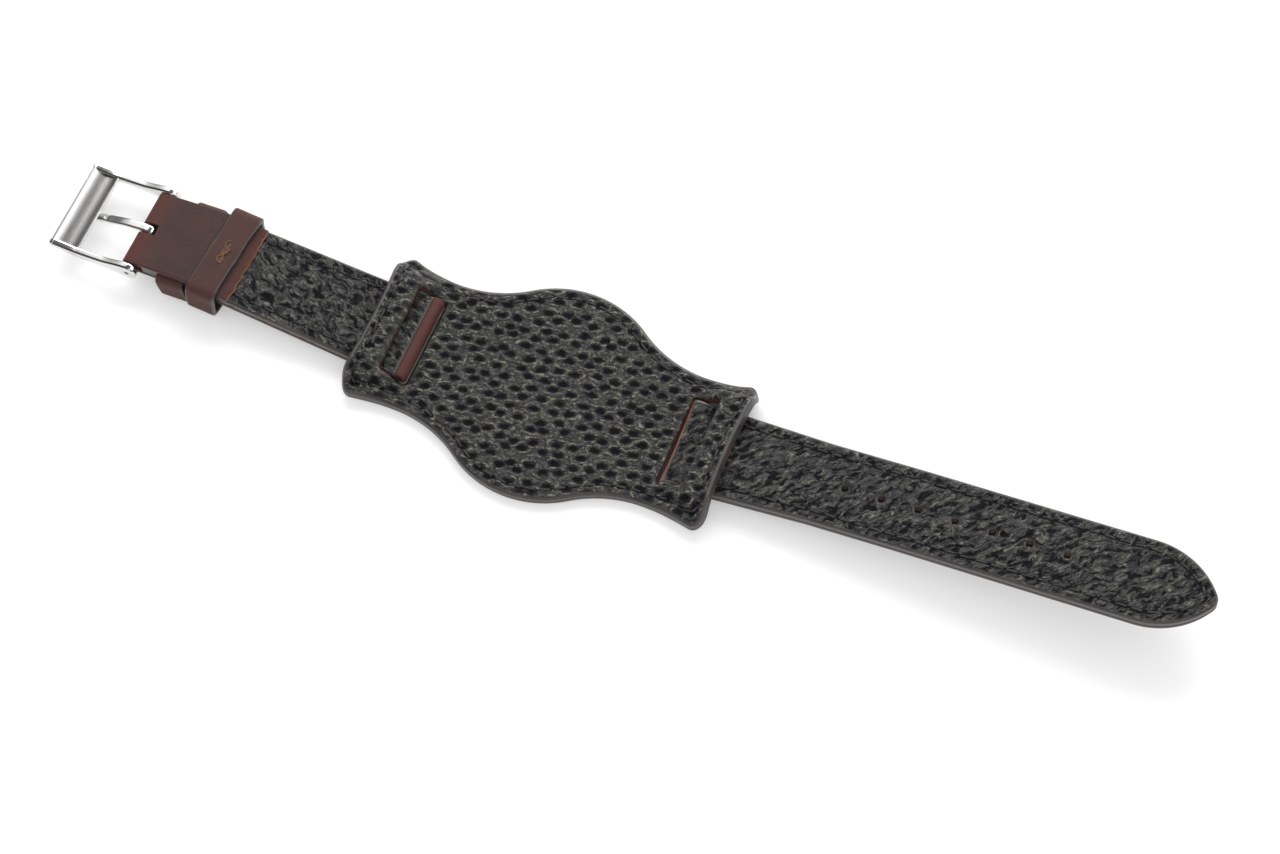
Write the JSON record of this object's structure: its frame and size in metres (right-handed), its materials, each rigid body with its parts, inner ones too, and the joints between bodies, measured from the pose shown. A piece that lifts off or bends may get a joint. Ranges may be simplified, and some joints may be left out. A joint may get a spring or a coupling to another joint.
{
  "type": "bund watch strap",
  "caption": "Leather watch strap in two pieces threaded through a wide wrist pad, with keepers and a pin buckle on a spring bar.",
  "frame": {"origin": "middle of the pad's outer face, where the watch case sits", "axes": "+X along the strap towards the tip of the tail, +Y across the strap, +Z towards the wrist"},
  "size_m": [0.257, 0.0496, 0.0151],
  "materials": {
    "lining_leather": "pebbled, slightly oily black calf",
    "strap_leather": "smooth waxed dark brown, redder at folds and edges",
    "filler_leather": "raw leather board",
    "dark_thread": "waxed thread",
    "brown_thread": "waxed thread",
    "polished_steel": "polished stainless steel",
    "bar_steel": "turned stainless steel"
  },
  "bodies": {
    "pad": {"pad_outer": "strap_leather", "pad_lining": "lining_leather", "pad_stitching": "dark_thread"},
    "buckle_strap": {"buckle_strap_outer": "strap_leather", "buckle_strap_filler": "filler_leather", "buckle_strap_lining": "lining_leather", "buckle_strap_stitching": "dark_thread", "fixed_keeper": "strap_leather", "spring_bar_tube": "bar_steel", "spring_bar_spring": "bar_steel"},
    "tail_strap": {"tail_strap_outer": "strap_leather", "tail_strap_filler": "filler_leather", "tail_strap_lining": "lining_leather", "tail_strap_stitching": "dark_thread"},
    "keeper": {"free_keeper": "strap_leather", "free_keeper_stitch": "brown_thread"},
    "buckle": {"buckle_frame": "polished_steel"},
    "tongue": {"buckle_tongue": "polished_steel"},
    "tip_far": {"spring_bar_tip_far": "bar_steel"},
    "tip_near": {"spring_bar_tip_near": "bar_steel"}
  },
  "joints": [
    {"name": "pad_lift", "type": "slide", "parent": "buckle_strap", "child": "pad", "axis": [0, 0, 1], "range_m": [0, 0.01]},
    {"name": "tail_strap_slide", "type": "slide", "parent": "buckle_strap", "child": "tail_strap", "axis": [0.9993, 0.0384, 0], "range_m": [0, 0.002]},
    {"name": "free_keeper_slide", "type": "slide", "parent": "buckle_strap", "child": "keeper", "axis": [0.9949, 0, -0.1004], "range_m": [0, 0.027]},
    {"name": "buckle_hinge", "type": "hinge", "parent": "buckle_strap", "child": "buckle", "pos_m": [-0.09446, 0, 0.0057], "axis": [0, 1, 0], "range_deg": [0, 100]},
    {"name": "tongue_hinge", "type": "hinge", "parent": "buckle", "child": "tongue", "pos_m": [-0.09446, 0, 0.0057], "axis": [0, 1, 0], "range_deg": [-80, 0]},
    {"name": "far_tip_plunger", "type": "slide", "parent": "buckle_strap", "child": "tip_far", "axis": [0, -1, 0], "range_m": [0, 0.00125], "stiffness_N_per_m": 500, "springref_m": -0.002, "deforming": ["spring_bar_spring"]},
    {"name": "near_tip_plunger", "type": "slide", "parent": "buckle_strap", "child": "tip_near", "axis": [0, 1, 0], "range_m": [0, 0.00125], "stiffness_N_per_m": 500, "springref_m": -0.002}
  ]
}
